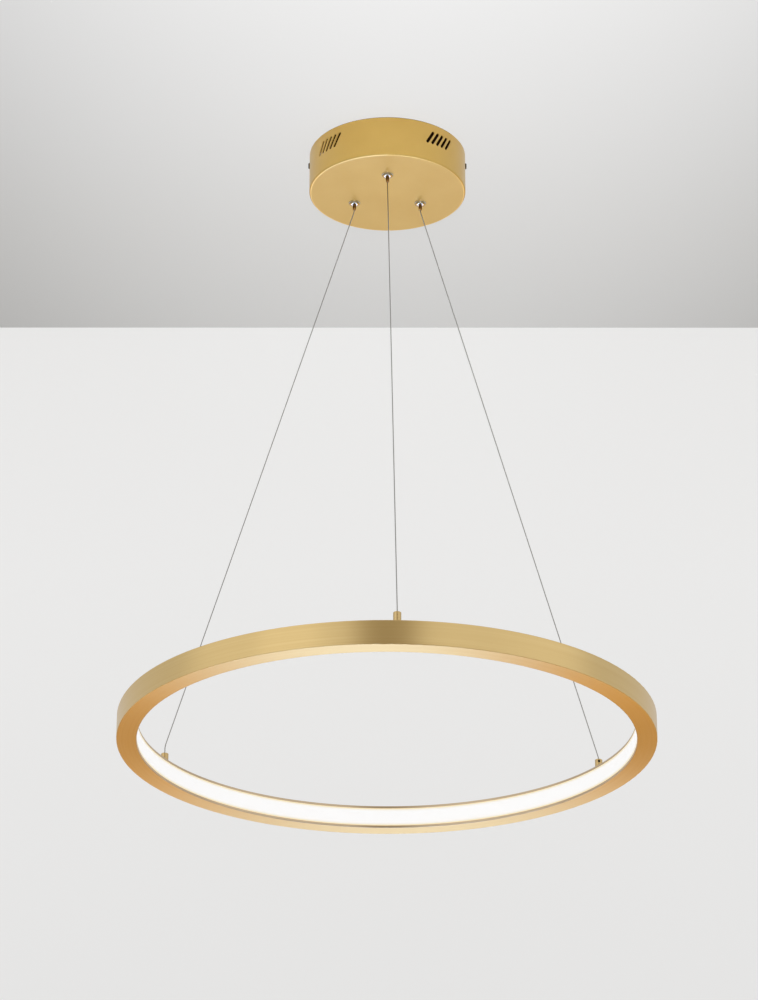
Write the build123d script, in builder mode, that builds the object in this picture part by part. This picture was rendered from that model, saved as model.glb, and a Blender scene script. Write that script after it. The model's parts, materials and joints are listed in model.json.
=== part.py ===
"""LED ring pendant light: canopy, three self-locking cable grippers, wires and a lit ring.

Millimetres and degrees. The origin is the centre of the canopy's rim on the ceiling, +Z is up,
and the front gripper and the front boss are towards -Y.
"""

import os
from math import cos, degrees, pi, radians, sin, sqrt, tan

from build123d import *

os.makedirs("parts", exist_ok=True)

# From the ceiling to the underside of the ring, and how far the ring is twisted against the canopy
overall_height = 750.0
ring_turn = 2.0
gripper_circle_radius = 45.5
suspension_angles = {"front": -90.0, "right": 30.0, "left": 150.0}

# Canopy cup and its vents
canopy_diameter = 186.0
canopy_height = 50.0
canopy_wall = 1.2
canopy_edge_radius = 2.0
vent_group_count = 4
vent_group_angle = -48.5
vent_slot_count = 5
vent_slot_pitch = 7.0
vent_slot_length = 19.5
vent_slot_width = 3.7
vent_slot_lean = 30.0
vent_depth = 17.6

# Play in drilled holes and in threads, on the radius
hole_clearance = 0.2
thread_clearance = 0.05

# Nuts and screw sockets are hexagons
hexagon_sides = 6

# Ceiling bracket
strap_width = 20.0
strap_thickness = 1.5
strap_bend_radius = 1.5
tab_length = 20.0
tab_clearance = 0.25
ceiling_slot_spacing = 70.0
ceiling_slot_length = 14.0
ceiling_slot_width = 4.5
mains_hole_diameter = 12.0

# Side screws and earth screw
side_screw_depth = 12.5
side_screw_diameter = 4.0
side_screw_head_diameter = 7.0
side_screw_head_height = 1.5
side_screw_head_radius = 0.9
side_screw_reach = 2.0
side_screw_socket_width = 2.5
side_screw_socket_depth = 0.8
earth_screw_inset = 28.0
earth_screw_diameter = 4.0
earth_screw_head_diameter = 7.6
earth_screw_head_height = 2.4
earth_screw_head_radius = 1.2
earth_washer_diameter = 9.0
earth_washer_thickness = 1.0

# Terminal block
terminal_inset = 5.5
terminal_count = 3
terminal_pitch = 12.0
terminal_base_width = 17.0
terminal_base_height = 6.0
terminal_tower_length = 7.4
terminal_tower_width = 13.0
terminal_tower_height = 8.0
terminal_corner_radius = 1.5
terminal_wire_hole_diameter = 3.6
terminal_screw_diameter = 3.0
terminal_screw_length = 3.5
fixing_screw_diameter = 2.5
fixing_screw_head_diameter = 4.0
fixing_screw_head_height = 1.6

# LED driver and the foam tape under it
driver_length = 90.0
driver_width = 34.0
driver_case_height = 20.0
driver_wall = 1.6
driver_corner_radius = 3.0
driver_cover_height = 3.0
driver_cover_edge = 1.0
driver_lip_height = 2.0
driver_lip_wall = 1.2
driver_lip_clearance = 0.15
driver_cable_hole_diameter = 6.0
driver_post_diameter = 4.0
driver_post_height = 3.0
driver_post_inset = 6.0
driver_board_thickness = 1.6
driver_board_clearance = 0.5
driver_headroom = 3.0
driver_coil_length = 24.0
driver_coil_width = 20.0
driver_coil_radius = 2.0
driver_capacitor_diameter = 10.0
driver_capacitor_place = 26.0
tape_thickness = 1.0
tape_width = 20.0
tape_length = 28.0
tape_spacing = 50.0

# Suspension wires: the run below each nipple and above each boss before the wire bends
wire_diameter = 1.2
wire_clearance = 0.15
wire_bend_radius = 8.0
wire_exit_run = 1.8
wire_entry_runs = {"front": 5.0, "right": 1.8, "left": 9.0}
wire_stub = 2.0
sleeve_diameter = 3.2
sleeve_length = 6.0

# Cable grippers
gripper_thread_diameter = 10.0
gripper_barrel_length = 21.8
gripper_dome_diameter = 14.0
gripper_dome_height = 3.0
gripper_rim_height = 0.8
gripper_tip_diameter = 6.4
gripper_dome_bulge = 0.6
gripper_nut_width = 14.0
gripper_nut_height = 4.0
plunger_diameter = 4.0
plunger_fit = 0.05
nipple_length = 7.0
nipple_edge_radius = 0.5
ball_diameter = 2.0
ball_count = 3
ball_level = 8.5
ball_fit = 0.05
taper_angle = 8.0
taper_rise = 6.0
collar_rise = 2.6
collar_height = 1.0
collar_clearance = 0.35
spring_wire = 0.6
cap_height = 3.0

# Ring channel and the diffuser that snaps into its mouth
ring_diameter = 600.0
ring_width = 22.5
ring_height = 27.0
ring_wall = 2.0
ring_flange = 2.0
ring_edge_radius = 0.6
lip_height = 0.7
lip_depth = 1.6
diffuser_clearance = 0.15
diffuser_hook_depth = 1.6

# LED strip, its chips and the two ribs that guide it on the channel's back wall
strip_width = 10.0
strip_thickness = 0.5
strip_glue = 0.1
strip_clearance = 0.2
guide_height = 1.0
guide_depth = 1.4
chip_count = 96
chip_length = 2.8
chip_height = 3.5
chip_depth = 0.7

# Bosses that hold the wires on the ring
boss_diameter = 8.6
boss_height = 13.0
boss_edge = 0.5
spigot_diameter = 6.0
spigot_reach = 1.0
bush_wall = 0.7
bush_flange_height = 0.8
bush_flange_reach = 0.55
washer_diameter = 10.0
washer_thickness = 0.8
boss_nut_width = 10.0
boss_nut_height = 3.0
set_screw_diameter = 3.0
set_screw_level = 3.0
set_screw_recess = 0.8
set_screw_socket_width = 1.5
set_screw_socket_depth = 1.0
set_screw_angles = {"front": 90.0, "right": -88.0, "left": 120.0}

# Levels and radii that several pieces share
canopy_radius = canopy_diameter / 2
canopy_inner_radius = canopy_radius - canopy_wall
floor_low = -canopy_height
floor_top = floor_low + canopy_wall
strap_low = -strap_thickness
tab_face = sqrt(canopy_inner_radius**2 - (strap_width / 2) ** 2) - tab_clearance
wire_radius = wire_diameter / 2
wire_bore_radius = wire_radius + wire_clearance
ring_radius = ring_diameter / 2
ring_top = ring_height - overall_height
ring_middle = ring_top - ring_height / 2
boss_circle_radius = ring_radius - ring_width / 2


def spot(circle_radius, angle, height):
    """Point on a circle about the lamp's axis."""
    return Vector(circle_radius * cos(radians(angle)), circle_radius * sin(radians(angle)), height)


def facing(point, angle):
    """Upright plane through a point, square to the direction of an angle, its own Y up."""
    turn = radians(angle)
    return Plane(origin=point, x_dir=(-sin(turn), cos(turn), 0), z_dir=(cos(turn), sin(turn), 0))


def flat(point, angle=-90.0):
    """Level plane through a point, its own X square to the direction of an angle."""
    turn = radians(angle)
    return Plane(origin=point, x_dir=(-sin(turn), cos(turn), 0), z_dir=(0, 0, 1))


def section(point):
    """Upright plane through a point's axis at height 0, for profiles that are turned about it."""
    return Plane(origin=(point.X, point.Y, 0), x_dir=(1, 0, 0), z_dir=(0, -1, 0))


def turning_axis(point):
    """Vertical axis through a point."""
    return Axis((point.X, point.Y, 0), (0, 0, 1))


# Canopy: a drawn cup with vents, gripper holes and side screw holes
with BuildPart() as canopy:
    with BuildSketch(Plane.XY.offset(floor_low)):
        Circle(canopy_radius)
    extrude(amount=canopy_height)
    fillet(canopy.faces().sort_by(Axis.Z)[0].edges(), canopy_edge_radius)
    offset(amount=-canopy_wall, openings=canopy.faces().sort_by(Axis.Z)[-1])
    slot_step = degrees(vent_slot_pitch / canopy_radius)
    group_spread = (vent_slot_count - 1) * slot_step
    for group in range(vent_group_count):
        first_slot = vent_group_angle + group * 360 / vent_group_count - group_spread / 2
        for index in range(vent_slot_count):
            slot_angle = first_slot + index * slot_step
            slot_center = spot(canopy_radius, slot_angle, -vent_depth)
            with BuildSketch(facing(slot_center, slot_angle)):
                SlotOverall(vent_slot_length, vent_slot_width, rotation=90 - vent_slot_lean)
            extrude(amount=2 * canopy_wall, both=True, mode=Mode.SUBTRACT)
    with BuildSketch(Plane.XY.offset(floor_low)):
        with Locations([spot(gripper_circle_radius, angle, 0) for angle in suspension_angles.values()]):
            Circle(gripper_thread_diameter / 2 + hole_clearance)
    extrude(amount=canopy_wall, mode=Mode.SUBTRACT)
    with BuildSketch(Plane.YZ):
        with Locations((0, -side_screw_depth)):
            Circle(side_screw_diameter / 2 + hole_clearance)
    extrude(amount=canopy_diameter, both=True, mode=Mode.SUBTRACT)
canopy.part.label = "canopy"
export_step(canopy.part, "parts/canopy.step")

# Places along the strap: the earth screw on the left, the terminal block on the right
earth_place = earth_screw_inset - tab_face
terminal_length = terminal_count * terminal_pitch
terminal_place = tab_face - strap_thickness - terminal_inset - terminal_length / 2
fixing_count = terminal_count - 1

# Ceiling bracket: a strap against the ceiling with a tab bent down at each end
with BuildPart() as ceiling_bracket:
    with BuildSketch(Plane.XZ):
        with BuildLine():
            FilletPolyline(
                (-tab_face, -tab_length),
                (-tab_face, 0),
                (tab_face, 0),
                (tab_face, -tab_length),
                radius=strap_bend_radius + strap_thickness,
            )
            Line((tab_face, -tab_length), (tab_face - strap_thickness, -tab_length))
            FilletPolyline(
                (tab_face - strap_thickness, -tab_length),
                (tab_face - strap_thickness, strap_low),
                (strap_thickness - tab_face, strap_low),
                (strap_thickness - tab_face, -tab_length),
                radius=strap_bend_radius,
            )
            Line((strap_thickness - tab_face, -tab_length), (-tab_face, -tab_length))
        make_face()
    extrude(amount=strap_width / 2, both=True)
    with BuildSketch(Plane.XY):
        Circle(mains_hole_diameter / 2)
        with GridLocations(ceiling_slot_spacing, 0, 2, 1):
            SlotOverall(ceiling_slot_length, ceiling_slot_width)
        with Locations((terminal_place, 0)):
            with GridLocations(terminal_pitch, 0, fixing_count, 1):
                Circle(fixing_screw_diameter / 2 + thread_clearance)
        with Locations((earth_place, 0)):
            Circle(earth_screw_diameter / 2 + thread_clearance)
    extrude(amount=-strap_thickness, mode=Mode.SUBTRACT)
    with BuildSketch(Plane.YZ):
        with Locations((0, -side_screw_depth)):
            Circle(side_screw_diameter / 2 + thread_clearance)
    extrude(amount=canopy_diameter, both=True, mode=Mode.SUBTRACT)
ceiling_bracket.part.label = "ceiling_bracket"
export_step(ceiling_bracket.part, "parts/ceiling_bracket.step")

# Side screws: through the canopy's wall into the bracket's tabs
side_screw_length = canopy_radius - tab_face + strap_thickness + side_screw_reach
for side, angle in {"left": 180.0, "right": 0.0}.items():
    seat = facing(spot(canopy_radius, angle, -side_screw_depth), angle)
    with BuildPart() as side_screw:
        with BuildSketch(seat):
            Circle(side_screw_head_diameter / 2)
        extrude(amount=side_screw_head_height)
        outer_face = side_screw.faces().sort_by(Axis(seat.origin, seat.z_dir))[-1]
        fillet(outer_face.edges(), side_screw_head_radius)
        with BuildSketch(seat.offset(side_screw_head_height)):
            RegularPolygon(side_screw_socket_width / 2, hexagon_sides, major_radius=False)
        extrude(amount=-side_screw_socket_depth, mode=Mode.SUBTRACT)
        with BuildSketch(seat):
            Circle(side_screw_diameter / 2)
        extrude(amount=-side_screw_length)
    side_screw.part.label = f"side_screw_{side}"
    export_step(side_screw.part, f"parts/side_screw_{side}.step")

# Earth screw and its washer, under the strap
earth_seat = flat(Vector(earth_place, 0, strap_low))
with BuildPart() as earth_washer:
    with BuildSketch(earth_seat):
        Circle(earth_washer_diameter / 2)
        Circle(earth_screw_diameter / 2 + hole_clearance, mode=Mode.SUBTRACT)
    extrude(amount=-earth_washer_thickness)
earth_washer.part.label = "earth_washer"
export_step(earth_washer.part, "parts/earth_washer.step")

with BuildPart() as earth_screw:
    with BuildSketch(earth_seat.offset(-earth_washer_thickness)):
        Circle(earth_screw_head_diameter / 2)
    extrude(amount=-earth_screw_head_height)
    fillet(earth_screw.faces().sort_by(Axis.Z)[0].edges(), earth_screw_head_radius)
    with BuildSketch(earth_seat.offset(-earth_washer_thickness)):
        Circle(earth_screw_diameter / 2)
    extrude(amount=earth_washer_thickness + strap_thickness)
earth_screw.part.label = "earth_screw"
export_step(earth_screw.part, "parts/earth_screw.step")

# Terminal block: a base with one tower for each conductor, hanging under the strap
terminal_seat = flat(Vector(terminal_place, 0, strap_low))
tower_seat = terminal_seat.offset(-terminal_base_height)
conductor_level = strap_low - terminal_base_height / 2
with BuildPart() as terminal_block:
    with BuildSketch(terminal_seat):
        RectangleRounded(terminal_length, terminal_base_width, terminal_corner_radius)
    extrude(amount=-terminal_base_height)
    with BuildSketch(tower_seat):
        with GridLocations(terminal_pitch, 0, terminal_count, 1):
            RectangleRounded(terminal_tower_length, terminal_tower_width, terminal_corner_radius)
    extrude(amount=-terminal_tower_height)
    with BuildSketch(facing(Vector(terminal_place, 0, conductor_level), -90.0)):
        with GridLocations(terminal_pitch, 0, terminal_count, 1):
            Circle(terminal_wire_hole_diameter / 2)
    extrude(amount=terminal_base_width, both=True, mode=Mode.SUBTRACT)
    with BuildSketch(flat(Vector(terminal_place, 0, conductor_level))):
        with GridLocations(terminal_pitch, 0, terminal_count, 1):
            Circle(terminal_screw_diameter / 2 + thread_clearance)
    extrude(amount=-terminal_base_height - terminal_tower_height, mode=Mode.SUBTRACT)
    with BuildSketch(terminal_seat):
        with GridLocations(terminal_pitch, 0, fixing_count, 1):
            Circle(fixing_screw_diameter / 2 + hole_clearance)
    extrude(amount=-terminal_base_height, mode=Mode.SUBTRACT)
terminal_block.part.label = "terminal_block"
export_step(terminal_block.part, "parts/terminal_block.step")

with BuildPart() as terminal_screws:
    with BuildSketch(flat(Vector(terminal_place, 0, conductor_level - terminal_wire_hole_diameter / 2))):
        with GridLocations(terminal_pitch, 0, terminal_count, 1):
            Circle(terminal_screw_diameter / 2)
    extrude(amount=-terminal_screw_length)
terminal_screws.part.label = "terminal_screws"
export_step(terminal_screws.part, "parts/terminal_screws.step")

with BuildPart() as terminal_fixing_screws:
    with BuildSketch(tower_seat):
        with GridLocations(terminal_pitch, 0, fixing_count, 1):
            Circle(fixing_screw_head_diameter / 2)
    extrude(amount=-fixing_screw_head_height)
    with BuildSketch(tower_seat):
        with GridLocations(terminal_pitch, 0, fixing_count, 1):
            Circle(fixing_screw_diameter / 2)
    extrude(amount=terminal_base_height + strap_thickness)
terminal_fixing_screws.part.label = "terminal_fixing_screws"
export_step(terminal_fixing_screws.part, "parts/terminal_fixing_screws.step")

# LED driver: halfway between the front gripper and the two rear ones, on foam tape
driver_middle = -gripper_circle_radius / 4
case_seat = flat(Vector(0, driver_middle, floor_top + tape_thickness))
cover_seat = case_seat.offset(driver_case_height)
board_seat = case_seat.offset(driver_wall + driver_post_height)
board_inset = 2 * (driver_wall + driver_board_clearance)
with BuildPart() as driver_tape:
    with BuildSketch(flat(Vector(0, driver_middle, floor_top))):
        with GridLocations(tape_spacing, 0, 2, 1):
            Rectangle(tape_width, tape_length)
    extrude(amount=tape_thickness)
driver_tape.part.label = "driver_tape"
export_step(driver_tape.part, "parts/driver_tape.step")

with BuildPart() as driver_case:
    with BuildSketch(case_seat):
        RectangleRounded(driver_length, driver_width, driver_corner_radius)
    extrude(amount=driver_case_height)
    offset(amount=-driver_wall, openings=driver_case.faces().sort_by(Axis.Z)[-1])
    with BuildSketch(case_seat.offset(driver_wall)):
        post_inset = 2 * (driver_wall + driver_post_inset)
        with GridLocations(driver_length - post_inset, driver_width - post_inset, 2, 2):
            Circle(driver_post_diameter / 2)
    extrude(amount=driver_post_height)
    with BuildSketch(facing(case_seat.origin + Vector(0, 0, driver_case_height / 2), 0.0)):
        Circle(driver_cable_hole_diameter / 2)
    extrude(amount=driver_length, both=True, mode=Mode.SUBTRACT)
driver_case.part.label = "driver_case"
export_step(driver_case.part, "parts/driver_case.step")

with BuildPart() as driver_cover:
    with BuildSketch(cover_seat):
        RectangleRounded(driver_length, driver_width, driver_corner_radius)
    extrude(amount=driver_cover_height)
    chamfer(driver_cover.faces().sort_by(Axis.Z)[-1].edges(), driver_cover_edge)
    with BuildSketch(cover_seat):
        lip_inset = 2 * (driver_wall + driver_lip_clearance)
        lip_opening = lip_inset + 2 * driver_lip_wall
        RectangleRounded(
            driver_length - lip_inset,
            driver_width - lip_inset,
            driver_corner_radius - driver_wall,
        )
        Rectangle(driver_length - lip_opening, driver_width - lip_opening, mode=Mode.SUBTRACT)
    extrude(amount=-driver_lip_height)
driver_cover.part.label = "driver_cover"
export_step(driver_cover.part, "parts/driver_cover.step")

# Driver board: the coil in the middle and a capacitor on each side of it
with BuildPart() as driver_board:
    with BuildSketch(board_seat):
        Rectangle(driver_length - board_inset, driver_width - board_inset)
    extrude(amount=driver_board_thickness)
    component_seat = board_seat.offset(driver_board_thickness)
    component_height = cover_seat.origin.Z - driver_headroom - component_seat.origin.Z
    with BuildSketch(component_seat):
        RectangleRounded(driver_coil_length, driver_coil_width, driver_coil_radius)
        with GridLocations(2 * driver_capacitor_place, 0, 2, 1):
            Circle(driver_capacitor_diameter / 2)
    extrude(amount=component_height)
driver_board.part.label = "driver_board"
export_step(driver_board.part, "parts/driver_board.step")

# Levels in a gripper. The balls touch the wire and lie in a taper that narrows downward, so the
# pull of the wire jams them, and pressing the nipple up frees them.
thread_radius = gripper_thread_diameter / 2
dome_tip = floor_low - gripper_dome_height
nipple_tip = dome_tip - nipple_length
barrel_top = floor_top + gripper_barrel_length
cap_low = barrel_top - cap_height
plunger_radius = plunger_diameter / 2
guide_radius = plunger_radius + plunger_fit
ball_radius = ball_diameter / 2
ball_center = floor_low + ball_level
ball_circle_radius = wire_radius + ball_fit + ball_radius
taper_slope = tan(radians(taper_angle))
taper_radius = ball_circle_radius + (ball_radius + ball_fit) / cos(radians(taper_angle))
taper_low = ball_center - (taper_radius - guide_radius) / taper_slope
taper_top = ball_center + taper_rise
bore_radius = taper_radius + taper_rise * taper_slope
collar_low = ball_center + collar_rise
collar_top = collar_low + collar_height
collar_radius = taper_radius + collar_rise * taper_slope - collar_clearance

for where, angle in suspension_angles.items():
    gripper = spot(gripper_circle_radius, angle, floor_low)

    # Body: domed flange under the floor, threaded barrel above it, tapered bore inside
    with BuildPart() as gripper_body:
        with BuildSketch(section(gripper)):
            with BuildLine():
                Polyline(
                    (gripper_tip_diameter / 2, dome_tip),
                    (guide_radius, dome_tip),
                    (guide_radius, taper_low),
                    (bore_radius, taper_top),
                    (bore_radius, barrel_top),
                    (thread_radius, barrel_top),
                    (thread_radius, floor_low),
                    (gripper_dome_diameter / 2, floor_low),
                    (gripper_dome_diameter / 2, floor_low - gripper_rim_height),
                )
                SagittaArc(
                    (gripper_dome_diameter / 2, floor_low - gripper_rim_height),
                    (gripper_tip_diameter / 2, dome_tip),
                    gripper_dome_bulge,
                )
            make_face()
        revolve(axis=turning_axis(gripper))
    gripper_body.part.label = f"gripper_body_{where}"
    export_step(gripper_body.part, f"parts/gripper_body_{where}.step")

    with BuildPart() as gripper_nut:
        with BuildSketch(flat(spot(gripper_circle_radius, angle, floor_top), angle)):
            RegularPolygon(gripper_nut_width / 2, hexagon_sides, major_radius=False)
            Circle(thread_radius + thread_clearance, mode=Mode.SUBTRACT)
        extrude(amount=gripper_nut_height)
    gripper_nut.part.label = f"gripper_nut_{where}"
    export_step(gripper_nut.part, f"parts/gripper_nut_{where}.step")

    # Plunger: the nipple to press, a ball cage and a collar for the spring, with the wire's bore
    with BuildPart() as gripper_plunger:
        with BuildSketch(flat(spot(gripper_circle_radius, angle, nipple_tip))):
            Circle(plunger_radius)
        extrude(amount=collar_top - nipple_tip)
        fillet(gripper_plunger.faces().sort_by(Axis.Z)[0].edges(), nipple_edge_radius)
        with BuildSketch(flat(spot(gripper_circle_radius, angle, collar_low))):
            Circle(collar_radius)
        extrude(amount=collar_height)
        with BuildSketch(flat(spot(gripper_circle_radius, angle, nipple_tip))):
            Circle(wire_bore_radius)
        extrude(amount=collar_top - nipple_tip, mode=Mode.SUBTRACT)
        for index in range(ball_count):
            ball_angle = index * 360 / ball_count
            with BuildSketch(facing(spot(gripper_circle_radius, angle, ball_center), ball_angle)):
                Circle(ball_radius + ball_fit)
            extrude(amount=plunger_diameter, mode=Mode.SUBTRACT)
    gripper_plunger.part.label = f"gripper_plunger_{where}"
    export_step(gripper_plunger.part, f"parts/gripper_plunger_{where}.step")

    with BuildPart() as gripper_balls:
        with Locations(spot(gripper_circle_radius, angle, ball_center)):
            with PolarLocations(ball_circle_radius, ball_count):
                Sphere(ball_radius)
    gripper_balls.part.label = f"gripper_balls_{where}"
    export_step(gripper_balls.part, f"parts/gripper_balls_{where}.step")

    # Spring: a plain sleeve at the coil's size, between the collar and the cap
    with BuildPart() as gripper_spring:
        with BuildSketch(flat(spot(gripper_circle_radius, angle, collar_top))):
            Circle(collar_radius)
            Circle(collar_radius - spring_wire, mode=Mode.SUBTRACT)
        extrude(amount=cap_low - collar_top)
    gripper_spring.part.label = f"gripper_spring_{where}"
    export_step(gripper_spring.part, f"parts/gripper_spring_{where}.step")

    with BuildPart() as gripper_cap:
        with BuildSketch(flat(spot(gripper_circle_radius, angle, cap_low))):
            Circle(bore_radius - thread_clearance)
            Circle(wire_bore_radius, mode=Mode.SUBTRACT)
        extrude(amount=cap_height)
    gripper_cap.part.label = f"gripper_cap_{where}"
    export_step(gripper_cap.part, f"parts/gripper_cap_{where}.step")

    # Sleeve crimped on the wire's upper end, which stops on the cap
    with BuildPart() as wire_sleeve:
        with BuildSketch(flat(spot(gripper_circle_radius, angle, barrel_top))):
            Circle(sleeve_diameter / 2)
            Circle(wire_radius + thread_clearance, mode=Mode.SUBTRACT)
        extrude(amount=sleeve_length)
    wire_sleeve.part.label = f"wire_sleeve_{where}"
    export_step(wire_sleeve.part, f"parts/wire_sleeve_{where}.step")

# Ring: an extruded channel, open towards the middle, bent to a circle
channel_height = ring_height - 2 * ring_flange
mouth_height = channel_height - 2 * lip_height
channel_outer = ring_radius - ring_wall
channel_inner = ring_radius - ring_width + lip_depth
bush_radius = spigot_diameter / 2 + thread_clearance + bush_wall
boss_angles = {where: angle + ring_turn for where, angle in suspension_angles.items()}
boss_spots = [spot(boss_circle_radius, angle, 0) for angle in boss_angles.values()]
guide_spacing = strip_width + 2 * strip_clearance + guide_height
with BuildPart() as ring_profile:
    with BuildSketch(Plane.XZ):
        with Locations((boss_circle_radius, ring_middle)):
            RectangleRounded(ring_width, ring_height, ring_edge_radius)
        with Locations(((channel_outer + channel_inner) / 2, ring_middle)):
            Rectangle(channel_outer - channel_inner, channel_height, mode=Mode.SUBTRACT)
        with Locations((channel_inner - lip_depth / 2, ring_middle)):
            Rectangle(lip_depth, mouth_height, mode=Mode.SUBTRACT)
        with Locations((channel_outer - guide_depth / 2, ring_middle)):
            with GridLocations(0, guide_spacing, 1, 2):
                Rectangle(guide_depth, guide_height)
    revolve(axis=Axis.Z)
    with BuildSketch(Plane.XY.offset(ring_top)):
        with Locations(boss_spots):
            Circle(bush_radius + thread_clearance)
    extrude(amount=-ring_flange, mode=Mode.SUBTRACT)
ring_profile.part.label = "ring_profile"
export_step(ring_profile.part, "parts/ring_profile.step")

# Diffuser: an opal strip, flush between the lips, with a hook behind each of them
hook_front = channel_inner + diffuser_clearance
with BuildPart() as diffuser:
    with BuildSketch(Plane.XZ):
        face_depth = hook_front + diffuser_hook_depth - (channel_inner - lip_depth)
        with Locations((channel_inner - lip_depth + face_depth / 2, ring_middle)):
            Rectangle(face_depth, mouth_height - 2 * diffuser_clearance)
        with Locations((hook_front + diffuser_hook_depth / 2, ring_middle)):
            Rectangle(diffuser_hook_depth, channel_height - 2 * diffuser_clearance)
    revolve(axis=Axis.Z)
diffuser.part.label = "diffuser"
export_step(diffuser.part, "parts/diffuser.step")

# LED strip on the channel's back wall, and its chips
strip_outer = channel_outer - strip_glue
chip_face = strip_outer - strip_thickness - strip_glue
with BuildPart() as led_strip:
    with BuildSketch(Plane.XY.offset(ring_middle - strip_width / 2)):
        Circle(strip_outer)
        Circle(strip_outer - strip_thickness, mode=Mode.SUBTRACT)
    extrude(amount=strip_width)
led_strip.part.label = "led_strip"
export_step(led_strip.part, "parts/led_strip.step")

with BuildPart() as led_chips:
    with BuildSketch(Plane.XY.offset(ring_middle - chip_height / 2)):
        with PolarLocations(chip_face - chip_depth / 2, chip_count):
            Rectangle(chip_depth, chip_length)
    extrude(amount=chip_height)
led_chips.part.label = "led_chips"
export_step(led_chips.part, "parts/led_chips.step")

# Levels of the bosses and of what clamps them to the ring's top wall
boss_low = ring_top + bush_flange_height
boss_top = ring_top + boss_height
wall_low = ring_top - ring_flange
nut_top = wall_low - washer_thickness
spigot_low = nut_top - boss_nut_height - spigot_reach
set_screw_height = boss_top - set_screw_level
spigot_radius = spigot_diameter / 2

for where, angle in boss_angles.items():
    screw_spot = spot(boss_circle_radius, angle, set_screw_height)
    screw_side = facing(screw_spot, set_screw_angles[where])

    # Boss: holds the wire, with a threaded spigot through the ring's top wall
    with BuildPart() as boss:
        with BuildSketch(flat(spot(boss_circle_radius, angle, boss_low))):
            Circle(boss_diameter / 2)
        extrude(amount=boss_top - boss_low)
        chamfer(boss.faces().sort_by(Axis.Z)[-1].edges(), boss_edge)
        with BuildSketch(flat(spot(boss_circle_radius, angle, spigot_low))):
            Circle(spigot_radius)
        extrude(amount=boss_low - spigot_low)
        with BuildSketch(flat(spot(boss_circle_radius, angle, spigot_low))):
            Circle(wire_bore_radius)
        extrude(amount=boss_top - spigot_low, mode=Mode.SUBTRACT)
        with BuildSketch(screw_side):
            Circle(set_screw_diameter / 2 + thread_clearance)
        extrude(amount=boss_diameter, mode=Mode.SUBTRACT)
    boss.part.label = f"boss_{where}"
    export_step(boss.part, f"parts/boss_{where}.step")

    # Set screw: presses on the wire, with its socket a little below the boss's side
    with BuildPart() as set_screw:
        screw_start = wire_radius + thread_clearance
        screw_end = boss_diameter / 2 - set_screw_recess
        with BuildSketch(screw_side.offset(screw_start)):
            Circle(set_screw_diameter / 2)
        extrude(amount=screw_end - screw_start)
        with BuildSketch(screw_side.offset(screw_end)):
            RegularPolygon(set_screw_socket_width / 2, hexagon_sides, major_radius=False)
        extrude(amount=-set_screw_socket_depth, mode=Mode.SUBTRACT)
    set_screw.part.label = f"set_screw_{where}"
    export_step(set_screw.part, f"parts/set_screw_{where}.step")

    # Bush: keeps the boss, which carries current, off the ring
    with BuildPart() as boss_bush:
        with BuildSketch(flat(spot(boss_circle_radius, angle, ring_top))):
            Circle(bush_radius + bush_flange_reach)
        extrude(amount=bush_flange_height)
        with BuildSketch(flat(spot(boss_circle_radius, angle, ring_top))):
            Circle(bush_radius)
        extrude(amount=-ring_flange)
        with BuildSketch(flat(spot(boss_circle_radius, angle, wall_low))):
            Circle(spigot_radius + thread_clearance)
        extrude(amount=ring_flange + bush_flange_height, mode=Mode.SUBTRACT)
    boss_bush.part.label = f"boss_bush_{where}"
    export_step(boss_bush.part, f"parts/boss_bush_{where}.step")

    with BuildPart() as boss_washer:
        with BuildSketch(flat(spot(boss_circle_radius, angle, wall_low))):
            Circle(washer_diameter / 2)
            Circle(spigot_radius + thread_clearance, mode=Mode.SUBTRACT)
        extrude(amount=-washer_thickness)
    boss_washer.part.label = f"boss_washer_{where}"
    export_step(boss_washer.part, f"parts/boss_washer_{where}.step")

    with BuildPart() as boss_nut:
        with BuildSketch(flat(spot(boss_circle_radius, angle, nut_top), angle)):
            RegularPolygon(boss_nut_width / 2, hexagon_sides, major_radius=False)
            Circle(spigot_radius + thread_clearance, mode=Mode.SUBTRACT)
        extrude(amount=-boss_nut_height)
    boss_nut.part.label = f"boss_nut_{where}"
    export_step(boss_nut.part, f"parts/boss_nut_{where}.step")

# Wires: straight down through the gripper, tight to the boss, then straight down into it
for where, angle in suspension_angles.items():
    route_points = [
        spot(gripper_circle_radius, angle, barrel_top + sleeve_length + wire_stub),
        spot(gripper_circle_radius, angle, nipple_tip - wire_exit_run),
        spot(boss_circle_radius, boss_angles[where], boss_top + wire_entry_runs[where]),
        spot(boss_circle_radius, boss_angles[where], spigot_low - wire_stub),
    ]
    with BuildPart() as wire:
        with BuildLine() as route:
            FilletPolyline(*route_points, radius=wire_bend_radius)
        with BuildSketch(flat(route_points[0])):
            Circle(wire_radius)
        sweep(path=route.wires()[0])
    wire.part.label = f"wire_{where}"
    export_step(wire.part, f"parts/wire_{where}.step")
    route_length = route.wires()[0].length
    tube_share = wire.part.volume / (pi * wire_radius**2 * route_length)
    print(f"wire_{where} length {route_length:.1f}, bend radius {wire_bend_radius}, tube {tube_share:.4f}")
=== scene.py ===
"""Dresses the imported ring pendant: finishes, stranded wires, gripper springs, stage, lamps and camera.

Every piece is in metres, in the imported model's own frame. The origin is the centre of the canopy's
rim on the ceiling, +Z is up, and the photograph was taken from -Y and from below.
"""

from __future__ import annotations

import json
import logging
import math
from dataclasses import dataclass
from enum import Enum
from typing import Any

import bmesh
import bpy
from mathutils import Matrix, Vector

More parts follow.
